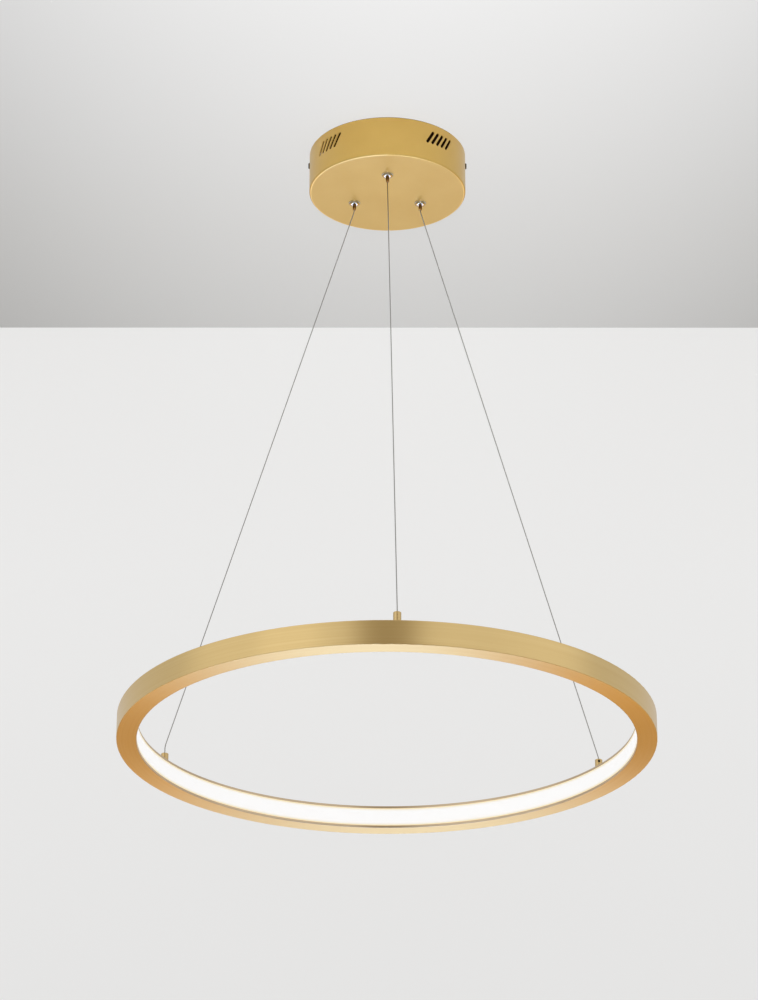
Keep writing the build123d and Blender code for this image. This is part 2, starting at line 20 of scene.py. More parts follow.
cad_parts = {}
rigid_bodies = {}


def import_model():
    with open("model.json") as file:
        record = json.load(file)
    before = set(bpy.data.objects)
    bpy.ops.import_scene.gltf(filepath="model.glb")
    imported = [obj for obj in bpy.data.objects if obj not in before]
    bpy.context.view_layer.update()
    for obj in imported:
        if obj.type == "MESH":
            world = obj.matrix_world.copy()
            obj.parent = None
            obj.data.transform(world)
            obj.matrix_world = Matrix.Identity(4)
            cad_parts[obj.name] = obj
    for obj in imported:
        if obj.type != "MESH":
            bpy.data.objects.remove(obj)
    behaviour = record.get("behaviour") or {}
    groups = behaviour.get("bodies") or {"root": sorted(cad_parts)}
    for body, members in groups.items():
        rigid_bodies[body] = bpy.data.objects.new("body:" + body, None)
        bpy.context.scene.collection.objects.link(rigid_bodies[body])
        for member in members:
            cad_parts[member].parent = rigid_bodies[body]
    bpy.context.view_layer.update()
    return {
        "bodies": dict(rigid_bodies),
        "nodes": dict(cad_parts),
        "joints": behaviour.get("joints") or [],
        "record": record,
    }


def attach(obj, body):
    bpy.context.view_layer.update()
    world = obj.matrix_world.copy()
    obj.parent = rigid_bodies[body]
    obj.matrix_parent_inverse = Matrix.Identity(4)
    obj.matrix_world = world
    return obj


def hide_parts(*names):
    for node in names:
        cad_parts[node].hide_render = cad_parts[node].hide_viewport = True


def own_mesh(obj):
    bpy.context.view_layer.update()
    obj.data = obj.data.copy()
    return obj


Tree = bpy.types.NodeTree
Socket = bpy.types.NodeSocket
Triple = tuple[float, float, float]

LOG = logging.getLogger("ring_pendant")
MM = 0.001
CANOPY_BODY = "canopy_assembly"
GRIPPER_CIRCLE_MM = 45.5
# Multiplied by this, a point keeps its place on the level and loses its height.
LEVEL = (1.0, 1.0, 0.0)


class Place(Enum):
    """The three suspension points, by their side of the lamp."""

    FRONT = "front"
    RIGHT = "right"
    LEFT = "left"

    @property
    def angle_deg(self) -> float:
        """The point's angle round the lamp's axis, from +X."""
        return {Place.FRONT: -90.0, Place.RIGHT: 30.0, Place.LEFT: 150.0}[self]


class Slot(Enum):
    """The record's material slots."""

    GOLD_PAINT = "gold_paint"
    BLACK_STEEL = "black_steel"
    GOLD_ALUMINIUM = "gold_aluminium"
    GOLD_BRASS = "gold_brass"
    CHROME = "chrome"
    DARK_BRASS = "dark_brass"
    ZINC_STEEL = "zinc_steel"
    SPRING_STEEL = "spring_steel"
    WIRE_STEEL = "wire_steel"
    OPAL = "opal"
    WHITE_NYLON = "white_nylon"
    PLAIN_BRASS = "plain_brass"
    DRIVER_PLASTIC = "driver_plastic"
    CIRCUIT_BOARD = "circuit_board"
    STRIP_BOARD = "strip_board"
    LED_PHOSPHOR = "led_phosphor"
    FOAM = "foam"


class Along(Enum):
    """The axis along which a room surface goes from its near tone to its far one."""

    DEPTH = "Y"
    HEIGHT = "Z"


def linear(code: str) -> tuple[float, float, float, float]:
    """Turns an sRGB hex colour to the linear values that sockets take, by the standard's own curve.

    Args:
        code: The colour, such as "#C8A969".

    Returns:
        Linear red, green and blue, and an alpha of 1.
    """
    shares = [int(code[start : start + 2], 16) / 255 for start in (1, 3, 5)]
    light = [s / 12.92 if s <= 0.04045 else ((s + 0.055) / 1.055) ** 2.4 for s in shares]
    return (*light, 1.0)


def add_node(tree: Tree, kind: str, inputs: dict[str, Any] | None = None, **settings: Any) -> bpy.types.Node:
    """Adds one node with its settings, and sets or links its inputs.

    Args:
        tree: The node tree to add to.
        kind: The node's type name.
        inputs: Values, or sockets to link from, by the input's identifier.
        settings: Values for the node's own properties.

    Returns:
        The new node.
    """
    node = tree.nodes.new(kind)
    for name, value in settings.items():
        setattr(node, name, value)
    for key, value in (inputs or {}).items():
        socket = next(s for s in node.inputs if key == s.identifier)
        if isinstance(value, Socket):
            tree.links.new(value, socket)
        else:
            socket.default_value = value
    return node


def per_mm(size_mm: float) -> float:
    """Gives the texture scale at which one cell of a pattern has that size."""
    return 1 / (size_mm * MM)


def from_axis(tree: Tree) -> Socket:
    """Adds the distance of the surface's point from the lamp's axis.

    Args:
        tree: The material's node tree.

    Returns:
        The distance, in metres.
    """
    point = add_node(tree, "ShaderNodeTexCoord").outputs["Object"]
    level = add_node(
        tree, "ShaderNodeVectorMath", {"Vector": point, "Vector_001": LEVEL}, operation="MULTIPLY"
    ).outputs["Vector"]
    return add_node(tree, "ShaderNodeVectorMath", {"Vector": level}, operation="LENGTH").outputs["Value"]


def own_height(tree: Tree) -> Socket:
    """Adds the height of the surface's point, which is 0 at the ceiling and negative below it.

    Args:
        tree: The material's node tree.

    Returns:
        The height, in metres.
    """
    point = add_node(tree, "ShaderNodeTexCoord").outputs["Object"]
    return add_node(tree, "ShaderNodeSeparateXYZ", {"Vector": point}).outputs["Z"]


def around(circle_mm: float, angle_deg: float, height_mm: float) -> Vector:
    """Gives the point on a circle about the lamp's axis, in metres."""
    turn = math.radians(angle_deg)
    return Vector((circle_mm * math.cos(turn), circle_mm * math.sin(turn), height_mm)) * MM


def new_piece(name: str, data: bpy.types.ID) -> bpy.types.Object:
    """Links a mesh, curve, lamp or camera into the scene as an object at the origin.

    Args:
        name: The object's name.
        data: What it holds.

    Returns:
        The object.
    """
    piece = bpy.data.objects.new(name, data)
    bpy.context.scene.collection.objects.link(piece)
    return piece


def cleared_tree(owner: bpy.types.Material | bpy.types.World) -> Tree:
    """Gives a new material or world its node tree, with nothing in it yet.

    Args:
        owner: The material or world.

    Returns:
        The node tree.
    """
    owner.use_nodes = True
    owner.node_tree.nodes.clear()
    return owner.node_tree


@dataclass(frozen=True)
class Finish:
    """A finish with two tones, a gloss that varies and a shallow relief.

    Attributes:
        name: The material's name, for what it is and how it was made.
        color: Its main tone.
        shade: Its second tone.
        roughness: Its mean roughness.
        spread: How far the roughness goes up and down from there.
        metallic: Its share of metal.
        relief_mm: The depth of its relief.
        accent: The colour laid over one part, where it has one; on some finishes it is a painted highlight or
            a painted shade.
    """

    name: str
    color: str
    shade: str
    roughness: float
    spread: float = 0.05
    metallic: float = 0.0
    relief_mm: float = 0.01
    accent: str = ""

    def pattern(self, tree: Tree) -> tuple[Socket, Socket]:
        """Adds the nodes of the surface's pattern.

        Args:
            tree: The material's node tree.

        Returns:
            The tone, from color at 0 to shade at 1, and the relief's height, from 0 to 1.
        """
        raise NotImplementedError

    def accent_share(self, tree: Tree) -> Socket | None:
        """Adds the share of the accent: by default, there is none."""

    def tint(self, tree: Tree, tone: Socket) -> Socket:
        """Mixes the two tones, and lays the accent over them where there is one, which on some finishes is a
        painted highlight or a painted shade.

        Args:
            tree: The material's node tree.
            tone: The share of the shade.

        Returns:
            The colour.
        """
        tint = linear(self.color)
        for share, color in ((tone, self.shade), (self.accent_share(tree), self.accent)):
            if share is None:
                continue
            tint = add_node(
                tree,
                "ShaderNodeMix",
                {"Factor_Float": share, "A_Color": tint, "B_Color": linear(color)},
                data_type="RGBA",
            ).outputs[2]
        return tint

    def settle(self, tree: Tree, shader: bpy.types.Node) -> None:
        """Sets what a finish has beyond tone, gloss and relief: by default, nothing."""

    def material(self) -> bpy.types.Material:
        """Makes the material, or finds it where it was made before.

        Returns:
            The material.
        """
        made = bpy.data.materials.get(self.name)
        if made is not None:
            return made
        made = bpy.data.materials.new(self.name)
        tree = cleared_tree(made)
        tone, height = self.pattern(tree)
        gloss = add_node(
            tree,
            "ShaderNodeMapRange",
            {"Value": height, "To Min": self.roughness - self.spread, "To Max": self.roughness + self.spread},
        )
        bump = add_node(tree, "ShaderNodeBump", {"Height": height, "Distance": self.relief_mm * MM})
        shader = add_node(
            tree,
            "ShaderNodeBsdfPrincipled",
            {
                "Base Color": self.tint(tree, tone),
                "Roughness": gloss.outputs["Result"],
                "Normal": bump.outputs["Normal"],
                "Metallic": self.metallic,
            },
        )
        add_node(tree, "ShaderNodeOutputMaterial", {"Surface": shader.outputs["BSDF"]})
        self.settle(tree, shader)
        return made


@dataclass(frozen=True)
class SprayedLacquer(Finish):
    """Metallic lacquer sprayed on steel: even and satin, with soft clouds and a faint orange peel.

    On the low half of the canopy's rounded edge a painted highlight makes it paler and fully metallic, so
    that it shines brighter.
    """

    cloud_mm: float = 45.0
    cloud_detail: float = 3.0
    peel_mm: float = 3.0
    peel_detail: float = 1.0
    coat: float = 0.3
    coat_roughness: float = 0.14
    specular_level: float = 0.2
    # Painted highlight: a paler colour, with full metal, on the low half of the rounded edge
    accent: str = "#F8DD96"
    painted_highlight_metallic: float = 1.0
    painted_highlight_radius_mm: float = 90.6
    painted_highlight_height_mm: float = -49.25
    painted_highlight_fade_mm: float = 0.6

    def pattern(self, tree: Tree) -> tuple[Socket, Socket]:
        """Adds clouds for the tone and an orange peel for the relief.

        Args:
            tree: The material's node tree.

        Returns:
            The tone and the relief's height.
        """
        point = add_node(tree, "ShaderNodeTexCoord").outputs["Object"]
        cloud = add_node(
            tree,
            "ShaderNodeTexNoise",
            {"Vector": point, "Scale": per_mm(self.cloud_mm), "Detail": self.cloud_detail},
        )
        # The real peel is about 1 mm across, and it is drawn coarser so that it shows at this size.
        peel = add_node(
            tree,
            "ShaderNodeTexNoise",
            {"Vector": point, "Scale": per_mm(self.peel_mm), "Detail": self.peel_detail},
        )
        return cloud.outputs["Fac"], peel.outputs["Fac"]

    def accent_share(self, tree: Tree) -> Socket:
        """Adds the share of the painted highlight, from 0 on the wall and the floor to 1 low on the edge.

        Args:
            tree: The material's node tree.

        Returns:
            The share.
        """
        below = add_node(
            tree,
            "ShaderNodeMapRange",
            {
                "Value": own_height(tree),
                "From Min": self.painted_highlight_height_mm * MM,
                "From Max": (self.painted_highlight_height_mm - self.painted_highlight_fade_mm) * MM,
            },
        ).outputs["Result"]
        outside = add_node(
            tree,
            "ShaderNodeMapRange",
            {
                "Value": from_axis(tree),
                "From Min": self.painted_highlight_radius_mm * MM,
                "From Max": (self.painted_highlight_radius_mm + self.painted_highlight_fade_mm) * MM,
            },
        ).outputs["Result"]
        return add_node(
            tree, "ShaderNodeMath", {"Value": below, "Value_001": outside}, operation="MULTIPLY"
        ).outputs["Value"]

    def settle(self, tree: Tree, shader: bpy.types.Node) -> None:
        """Adds the clear top coat, which faintly mirrors the wires, and the painted highlight's metallic
        shine on the edge.

        Args:
            tree: The material's node tree.
            shader: Its shader.
        """
        highlight_metal = add_node(
            tree,
            "ShaderNodeMapRange",
            {"Value": self.accent_share(tree), "To Min": self.metallic, "To Max": self.painted_highlight_metallic},
        )
        tree.links.new(highlight_metal.outputs["Result"], shader.inputs["Metallic"])
        shader.inputs["Specular IOR Level"].default_value = self.specular_level
        shader.inputs["Coat Weight"].default_value = self.coat
        shader.inputs["Coat Roughness"].default_value = self.coat_roughness


@dataclass(frozen=True)
class BrushedRound(Finish):
    """Aluminium brushed along the ring and anodised gold: highlights spread far across the lines.

    A painted shade makes the channel's mouth duller.
    """

    ring_radius_mm: float = 300.0
    line_mm: float = 1.6
    line_length_mm: float = 240.0
    line_detail: float = 3.0
    anisotropy: float = 0.8
    across_lines: float = 0.25
    coat: float = 0.1
    coat_roughness: float = 0.2
    # Painted shade: a duller colour round the channel's mouth, where the lips meet the diffuser
    accent: str = "#CEB89A"
    mouth_radius_mm: float = 277.5
    mouth_depth_mm: float = 0.5

    def pattern(self, tree: Tree) -> tuple[Socket, Socket]:
        """Adds lines that run round the lamp's axis, with no seam.

        Args:
            tree: The material's node tree.

        Returns:
            The tone and the relief's height.
        """
        point = add_node(tree, "ShaderNodeTexCoord").outputs["Object"]
        level = add_node(
            tree, "ShaderNodeVectorMath", {"Vector": point, "Vector_001": LEVEL}, operation="MULTIPLY"
        ).outputs["Vector"]
        outward = add_node(
            tree, "ShaderNodeVectorMath", {"Vector": level}, operation="NORMALIZE"
        ).outputs["Vector"]
        arc = add_node(
            tree,
            "ShaderNodeVectorMath",
            {"Vector": outward, "Scale": self.ring_radius_mm / self.line_length_mm},
            operation="SCALE",
        ).outputs["Vector"]
        # Brush lines are far finer than a pixel here, so they are drawn as coarse as they need to show.
        rise = add_node(
            tree,
            "ShaderNodeVectorMath",
            {"Vector": point, "Vector_001": (0.0, 0.0, per_mm(self.line_mm)), "Vector_002": arc},
            operation="MULTIPLY_ADD",
        ).outputs["Vector"]
        depth = add_node(
            tree,
            "ShaderNodeMath",
            {"Value": from_axis(tree), "Value_001": per_mm(self.line_mm)},
            operation="MULTIPLY",
        ).outputs["Value"]
        lines = add_node(
            tree,
            "ShaderNodeTexNoise",
            {"Vector": rise, "W": depth, "Scale": 1.0, "Detail": self.line_detail},
            noise_dimensions="4D",
        )
        return lines.outputs["Fac"], lines.outputs["Fac"]

    def accent_share(self, tree: Tree) -> Socket:
        """Adds the share of the painted shade, from 0 on the channel to 1 round its mouth.

        Args:
            tree: The material's node tree.

        Returns:
            The share.
        """
        return add_node(
            tree,
            "ShaderNodeMapRange",
            {
                "Value": from_axis(tree),
                "From Min": (self.mouth_radius_mm + 2 * self.mouth_depth_mm) * MM,
                "From Max": (self.mouth_radius_mm + self.mouth_depth_mm) * MM,
            },
        ).outputs["Result"]

    def settle(self, tree: Tree, shader: bpy.types.Node) -> None:
        """Stretches the highlights across the brush lines, and adds the clear film's own gloss.

        Args:
            tree: The material's node tree.
            shader: Its shader.
        """
        tangent = add_node(tree, "ShaderNodeTangent", direction_type="RADIAL", axis="Z")
        tree.links.new(tangent.outputs["Tangent"], shader.inputs["Tangent"])
        shader.inputs["Anisotropic"].default_value = self.anisotropy
        # A share of a full turn, from the way that the lines run
        shader.inputs["Anisotropic Rotation"].default_value = self.across_lines
        shader.inputs["Coat Weight"].default_value = self.coat
        shader.inputs["Coat Roughness"].default_value = self.coat_roughness


@dataclass(frozen=True)
class TurnedMetal(Finish):
    """Metal turned on a lathe with its axis upright: fine level rings that catch the light."""

    groove_mm: float = 0.6
    groove_detail: float = 2.0

    def pattern(self, tree: Tree) -> tuple[Socket, Socket]:
        """Adds level rings.

        Args:
            tree: The material's node tree.

        Returns:
            The tone and the relief's height.
        """
        # Tool marks are about 0.1 mm apart, and they are drawn coarser so that they show close up.
        rings = add_node(
            tree,
            "ShaderNodeTexNoise",
            {"W": own_height(tree), "Scale": per_mm(self.groove_mm), "Detail": self.groove_detail},
            noise_dimensions="1D",
        )
        return rings.outputs["Fac"], rings.outputs["Fac"]


@dataclass(frozen=True)
class LighterEndBrass(TurnedMetal):
    """Turned brass burnished dark, and lighter towards its low end."""

    accent: str = "#B08A58"
    end_mm: float = -60.0
    lighter_end_mm: float = 4.0

    def accent_share(self, tree: Tree) -> Socket:
        """Adds the share of the lighter colour, from 0 on the shank to 1 at the low end.

        Args:
            tree: The material's node tree.

        Returns:
            The share.
        """
        return add_node(
            tree,
            "ShaderNodeMapRange",
            {
                "Value": own_height(tree),
                "From Min": (self.end_mm + self.lighter_end_mm) * MM,
                "From Max": self.end_mm * MM,
            },
            interpolation_type="SMOOTHSTEP",
        ).outputs["Result"]


@dataclass(frozen=True)
class MottledSurface(Finish):
    """A surface with an even grain and soft mottling, such as plated sheet, moulded nylon or foam."""

    mottle_mm: float = 8.0
    mottle_detail: float = 4.0
    grain_mm: float = 0.8

    def pattern(self, tree: Tree) -> tuple[Socket, Socket]:
        """Adds mottling for the tone and a grain for the relief.

        Args:
            tree: The material's node tree.

        Returns:
            The tone and the relief's height.
        """
        point = add_node(tree, "ShaderNodeTexCoord").outputs["Object"]
        mottle = add_node(
            tree,
            "ShaderNodeTexNoise",
            {"Vector": point, "Scale": per_mm(self.mottle_mm), "Detail": self.mottle_detail},
        )
        # A plated or moulded grain is about 0.1 mm across, and it is drawn coarser so that it shows close up.
        grain = add_node(tree, "ShaderNodeTexVoronoi", {"Vector": point, "Scale": per_mm(self.grain_mm)})
        return mottle.outputs["Fac"], grain.outputs["Distance"]


@dataclass(frozen=True)
class LitOpal(Finish):
    """Opal acrylic lit from inside: even white, with a painted warm shade along its two edges, in its colour
    and its glow.
    """

    middle_mm: float = -736.5
    half_height_mm: float = 10.65
    edge_mm: float = 3.5
    glow_middle: str = "#ECF2FF"
    painted_edge_glow: str = "#FFEFC8"
    glow_strength: float = 0.45
    grain_mm: float = 1.5

    def painted_edge_share(self, tree: Tree) -> Socket:
        """Adds the share of the painted warm shade, from 0 in the middle to 1 at the edges.

        Args:
            tree: The material's node tree.

        Returns:
            The share.
        """
        offset = add_node(
            tree,
            "ShaderNodeMath",
            {"Value": own_height(tree), "Value_001": self.middle_mm * MM},
            operation="SUBTRACT",
        ).outputs["Value"]
        distance = add_node(tree, "ShaderNodeMath", {"Value": offset}, operation="ABSOLUTE").outputs["Value"]
        share = add_node(
            tree,
            "ShaderNodeMapRange",
            {
                "Value": distance,
                "From Min": (self.half_height_mm - self.edge_mm) * MM,
                "From Max": self.half_height_mm * MM,
            },
            interpolation_type="SMOOTHSTEP",
        )
        return share.outputs["Result"]

    def pattern(self, tree: Tree) -> tuple[Socket, Socket]:
        """Adds the painted warm shade at the edges for the tone and a faint moulding grain for the relief.

        Args:
            tree: The material's node tree.

        Returns:
            The tone and the relief's height.
        """
        point = add_node(tree, "ShaderNodeTexCoord").outputs["Object"]
        grain = add_node(tree, "ShaderNodeTexNoise", {"Vector": point, "Scale": per_mm(self.grain_mm)})
        return self.painted_edge_share(tree), grain.outputs["Fac"]

    def settle(self, tree: Tree, shader: bpy.types.Node) -> None:
        """Adds the light that comes through, with a painted warmth along the edges.

        Args:
            tree: The material's node tree.
            shader: Its shader.
        """
        glow = add_node(
            tree,
            "ShaderNodeMix",
            {
                "Factor_Float": self.painted_edge_share(tree),
                "A_Color": linear(self.glow_middle),
                "B_Color": linear(self.painted_edge_glow),
            },
            data_type="RGBA",
        )
        tree.links.new(glow.outputs[2], shader.inputs["Emission Color"])
        shader.inputs["Emission Strength"].default_value = self.glow_strength


FINISHES: dict[Slot, Finish] = {
    # Steel sheet sprayed gold: an even satin colour, without the sharp mirror of bare metal, and a painted
    # highlight low on its rounded edge
    Slot.GOLD_PAINT: SprayedLacquer(
        "sprayed_gold_lacquer", color="#E1BE6B", shade="#D7B05A", roughness=0.4, metallic=0.3, relief_mm=0.02
    ),
    # Screws blackened in an oxide bath: dark, with a dull metal shine
    Slot.BLACK_STEEL: MottledSurface(
        "black_oxide_steel", color="#4B4741", shade="#35322E", roughness=0.4, metallic=1.0
    ),
    # Channel brushed lengthwise and anodised: long soft highlights under a clear film, and a painted shade
    # round its mouth
    Slot.GOLD_ALUMINIUM: BrushedRound(
        "anodised_gold_aluminium", color="#E2C78E", shade="#D8B97C", roughness=0.34, metallic=1.0
    ),
    # Bosses turned from brass and plated gold: an upright band of light on each
    Slot.GOLD_BRASS: TurnedMetal(
        "turned_gold_brass", color="#D6BC88", shade="#C2A36C", roughness=0.32, metallic=1.0
    ),
    # Flanges polished and chromed: small sharp mirrorings of light and dark
    Slot.CHROME: TurnedMetal(
        "polished_chrome",
        color="#DDD8CE",
        shade="#D2CCC1",
        roughness=0.2,
        spread=0.03,
        metallic=1.0,
        relief_mm=0.002,
    ),
    # Plungers burnished dark: brown, and lighter towards their low end
    Slot.DARK_BRASS: LighterEndBrass(
        "burnished_dark_brass", color="#7A5F3C", shade="#5E4628", roughness=0.35, metallic=1.0
    ),
    # Steel with a zinc plating: pale grey with faint clouds
    Slot.ZINC_STEEL: MottledSurface(
        "zinc_plated_steel", color="#C6C8CA", shade="#AEB1B4", roughness=0.38, metallic=1.0
    ),
    # Drawn spring wire and ground balls: bright grey
    Slot.SPRING_STEEL: TurnedMetal(
        "bright_spring_steel", color="#B4B6B8", shade="#9C9EA1", roughness=0.28, metallic=1.0
    ),
    # Drawn and stranded steel: grey, with a glint on each strand
    Slot.WIRE_STEEL: TurnedMetal(
        "stranded_steel", color="#B4B3B0", shade="#9C9B98", roughness=0.36, metallic=1.0
    ),
    # Opal acrylic extruded as a strip: soft white that glows, with a painted warm shade along its edges
    Slot.OPAL: LitOpal("lit_opal_acrylic", color="#F1F0EC", shade="#DCCDA8", roughness=0.5),
    # Moulded nylon: off-white and faintly cloudy
    Slot.WHITE_NYLON: MottledSurface(
        "moulded_nylon", color="#E8E5DC", shade="#DDD9CE", roughness=0.5, relief_mm=0.03
    ),
    # Turned brass left bare: yellow and bright
    Slot.PLAIN_BRASS: TurnedMetal(
        "turned_brass", color="#C9A45A", shade="#AF8A45", roughness=0.26, metallic=1.0
    ),
    # Moulded ABS: white, with the fine grain of its mould
    Slot.DRIVER_PLASTIC: MottledSurface(
        "moulded_white_abs", color="#E4E4E2", shade="#DADAD7", roughness=0.45, relief_mm=0.03
    ),
    # Printed solder mask on a glass fibre board: green and smooth
    Slot.CIRCUIT_BOARD: MottledSurface(
        "green_solder_mask", color="#2F6A40", shade="#245433", roughness=0.35
    ),
    # Printed white solder mask: bright, so that it throws the light out
    Slot.STRIP_BOARD: MottledSurface("white_solder_mask", color="#ECECE8", shade="#E0E0DB", roughness=0.4),
    # Phosphor cast in silicone: yellow and glossy
    Slot.LED_PHOSPHOR: MottledSurface("led_phosphor", color="#E9CF5E", shade="#DDBF45", roughness=0.3),
    # Blown closed-cell foam: black, matt and pitted
    Slot.FOAM: MottledSurface(
        "closed_cell_foam", color="#2B2B2C", shade="#1E1E1F", roughness=0.85, relief_mm=0.2, grain_mm=0.9
    ),
}


@dataclass(frozen=True)
class SuspensionWire:
    """One tight stranded steel wire, from its gripper in the canopy to its boss on the ring.

    The wire is as wide as six radii of a strand: a core with a strand on each side of it. A strand's
    corners are given as shares of its part of the turn: its valley, and two points of its crown.
    """

    place: Place
    entry_run_mm: float
    length_mm: float
    boss_circle_mm: float = 288.75
    ring_turn_deg: float = 2.0
    top_mm: float = -19.0
    sleeve_low_mm: float = -27.0
    leave_mm: float = -61.8
    boss_top_mm: float = -710.0
    low_mm: float = -731.8
    diameter_mm: float = 1.2
    ease_mm: float = 7.2
    strand_count: int = 6
    strand_radii: int = 6
    strand_corners: tuple[float, ...] = (-0.5, -0.22, 0.22)
    lay_mm: float = 12.0
    span_steps: int = 320
    travel_mm: float = 400.0

    def at_gripper(self, height_mm: float) -> Vector:
        """Gives the point at a height on the gripper's axis."""
        return around(GRIPPER_CIRCLE_MM, self.place.angle_deg, height_mm)

    def at_boss(self, height_mm: float) -> Vector:
        """Gives the point at a height on the boss's axis."""
        return around(self.boss_circle_mm, self.place.angle_deg + self.ring_turn_deg, height_mm)

    def bends(self) -> tuple[Vector, Vector]:
        """Gives the two bends of the wire, below the gripper and above the boss."""
        return self.at_gripper(self.leave_mm), self.at_boss(self.boss_top_mm + self.entry_run_mm)

    def route(self) -> list[Vector]:
        """Gives the control points of the wire's line, with one on each run six diameters from its bends.

        Returns:
            The points, from the gripper down to the boss.
        """
        leave, enter = self.bends()
        top, low = self.at_gripper(self.top_mm), self.at_boss(self.low_mm)
        run = (enter - leave).normalized() * self.ease_mm * MM
        drop = Vector((0.0, 0.0, -self.ease_mm * MM))
        return [top, leave - drop, leave, leave + run, enter - run, enter, enter + drop, low]

    def line(self) -> bpy.types.Object:
        """Makes the wire's line as one smooth curve, twisted by the strands' lay.

        Returns:
            The curve's object, in the scene.
        """
        curve = bpy.data.curves.new(f"line_{self.place.value}", "CURVE")
        curve.dimensions = "3D"
        points = self.route()
        spline = curve.splines.new("NURBS")
        spline.points.add(len(points) - 1)
        wound = 0.0
        for index, control in enumerate(spline.points):
            if index:
                wound += (points[index] - points[index - 1]).length
            control.co = (*points[index], 1.0)
            control.tilt = wound / (self.lay_mm * MM) * math.tau
        spline.order_u = 3
        spline.use_endpoint_u = True
        spline.resolution_u = self.span_steps
        return new_piece(curve.name, curve)

    def strand_outline(self) -> bpy.types.Object:
        """Makes the outline of the outer strands, which touch each other round a core.

        Returns:
            The closed curve's object, in the scene.
        """
        strand = self.diameter_mm / self.strand_radii * MM
        part = math.tau / self.strand_count
        corners = []
        for index in range(self.strand_count):
            for share in self.strand_corners:
                turn = share * part
                reach = 2 * strand * math.cos(turn)
                reach += math.sqrt(max(0.0, strand**2 - (2 * strand * math.sin(turn)) ** 2))
                angle = index * part + turn
                corners.append((reach * math.cos(angle), reach * math.sin(angle), 0.0, 1.0))
        outline = bpy.data.curves.new("strand_outline", "CURVE")
        spline = outline.splines.new("POLY")
        spline.points.add(len(corners) - 1)
        for control, corner in zip(spline.points, corners):
            control.co = corner
        spline.use_cyclic_u = True
        return new_piece(outline.name, outline)

    def strands(self) -> tuple[bpy.types.Mesh, list[tuple[float, ...]]]:
        """Winds the strands along the wire's line.

        Returns:
            The strands' mesh, and the points that the wire follows.
        """
        line = self.line()
        path_mesh = bpy.data.meshes.new_from_object(line)
        path = [tuple(vertex.co) for vertex in path_mesh.vertices]
        profile = self.strand_outline()
        line.data.bevel_mode = "OBJECT"
        line.data.bevel_object = profile
        line.data.use_fill_caps = True
        shown = bpy.context.evaluated_depsgraph_get()
        mesh = bpy.data.meshes.new_from_object(line.evaluated_get(shown))
        mesh.materials.clear()
        for scaffold in (line, profile):
            bpy.data.objects.remove(scaffold)
        bpy.data.meshes.remove(path_mesh)
        return mesh, path

    def build(self) -> bpy.types.Object:
        """Makes the wire and ties it to the canopy.

        Returns:
            The wire.
        """
        mesh, path = self.strands()
        mesh.materials.append(FINISHES[Slot.WIRE_STEEL].material())
        wire = new_piece(f"stranded_wire_{self.place.value}", mesh)
        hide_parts(f"wire_{self.place.value}")
        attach(wire, CANOPY_BODY)
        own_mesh(wire)
        return wire


@dataclass(frozen=True)
class GripperSpring:
    """The coil spring that presses a gripper's ball cage down."""

    place: Place
    low_mm: float = -37.9
    high_mm: float = -30.0
    outer_mm: float = 5.45
    wire_mm: float = 0.6
    turns: int = 5
    turn_steps: int = 24
    wire_sides: int = 8
    press_mm: float = 2.5

    def coil(self) -> bpy.types.Mesh:
        """Winds the coil: a circle of wire, spun up its axis and closed at both ends.

        Returns:
            The coil's mesh.
        """
        foot = around(GRIPPER_CIRCLE_MM, self.place.angle_deg, self.low_mm + self.wire_mm / 2)
        reach = Vector(((self.outer_mm - self.wire_mm) / 2 * MM, 0.0, 0.0))
        rise = (self.high_mm - self.low_mm - self.wire_mm) * MM
        steps = self.turns * self.turn_steps
        shape = bmesh.new()
        section = bmesh.ops.create_circle(
            shape,
            segments=self.wire_sides,
            radius=self.wire_mm / 2 * MM,
            matrix=Matrix.Translation(foot + reach) @ Matrix.Rotation(math.pi / 2, 4, "X"),
        )
        bmesh.ops.spin(
            shape,
            geom=section["verts"] + shape.edges[:],
            cent=foot,
            axis=(0, 0, 1),
            dvec=(0, 0, rise / steps),
            angle=self.turns * math.tau,
            steps=steps,
        )
        bmesh.ops.holes_fill(shape, edges=[edge for edge in shape.edges if edge.is_boundary])
        bmesh.ops.recalc_face_normals(shape, faces=shape.faces)
        for face in shape.faces:
            face.smooth = True
        mesh = bpy.data.meshes.new(f"coil_spring_{self.place.value}")
        shape.to_mesh(mesh)
        shape.free()
        return mesh

    def build(self) -> bpy.types.Object:
        """Makes the spring and ties it to the canopy.

        Returns:
            The spring.
        """
        mesh = self.coil()
        mesh.materials.append(FINISHES[Slot.SPRING_STEEL].material())
        spring = new_piece(mesh.name, mesh)
        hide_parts(f"gripper_spring_{self.place.value}")
        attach(spring, CANOPY_BODY)
        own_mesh(spring)
        return spring


